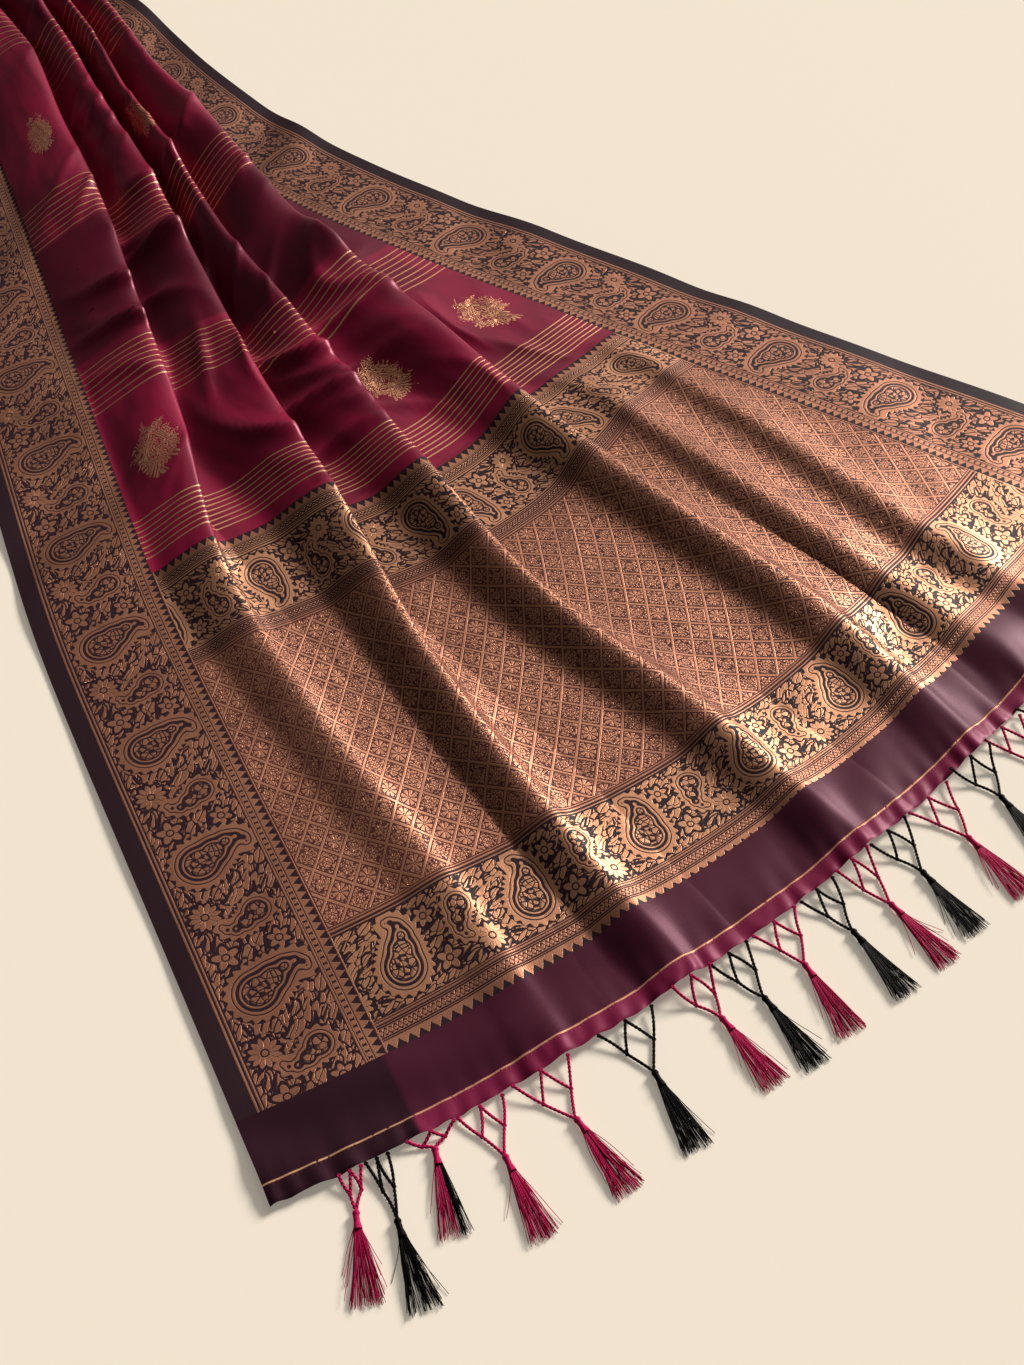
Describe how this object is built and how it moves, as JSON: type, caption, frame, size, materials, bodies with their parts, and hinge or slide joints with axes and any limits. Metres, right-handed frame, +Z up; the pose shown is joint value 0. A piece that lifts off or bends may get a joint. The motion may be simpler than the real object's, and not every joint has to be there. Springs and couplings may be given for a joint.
{
  "type": "saree",
  "caption": "Silk saree laid flat: fanned end piece with lattice and paisley bands, gathered body, folded length, wide borders and knotted tassels.",
  "frame": {"origin": "under the middle of the part's box, on the surface that it lies on", "axes": "+Z up, +Y from the tasselled end towards the folded length, +X to the right seen from the tassels"},
  "size_m": [1.1716, 2.1846, 0.0518],
  "materials": {
    "body_silk": "satin maroon silk with fine copper-gold stripes",
    "pallu_zari": "brocade of copper zari on plum silk",
    "border_zari": "brocade of copper zari on plum silk",
    "shot_silk": "plum silk shot with maroon",
    "hem_silk": "rolled maroon silk hem",
    "yarn_magenta": "glossy viscose yarn",
    "yarn_black": "glossy viscose yarn"
  },
  "bodies": {
    "root": {"body": "body_silk", "pallu": "pallu_zari", "border_left": "border_zari", "border_right": "border_zari", "end_band": "shot_silk", "hem": "hem_silk", "folded_length": "body_silk", "tassel_01": "yarn_magenta", "tassel_02": "yarn_black", "tassel_03": "yarn_magenta", "tassel_04": "yarn_magenta", "tassel_05": "yarn_magenta", "tassel_06": "yarn_black", "tassel_07": "yarn_magenta", "tassel_08": "yarn_black", "tassel_09": "yarn_magenta", "tassel_10": "yarn_black", "tassel_11": "yarn_magenta", "tassel_12": "yarn_black", "tassel_13": "yarn_magenta", "tassel_14": "yarn_black", "tassel_15": "yarn_magenta", "tassel_16": "yarn_black", "tassel_17": "yarn_magenta", "tassel_18": "yarn_black", "tassel_19": "yarn_magenta", "tassel_20": "yarn_black", "tassel_21": "yarn_magenta", "tassel_22": "yarn_black", "tassel_23": "yarn_magenta"}
  },
  "joints": []
}
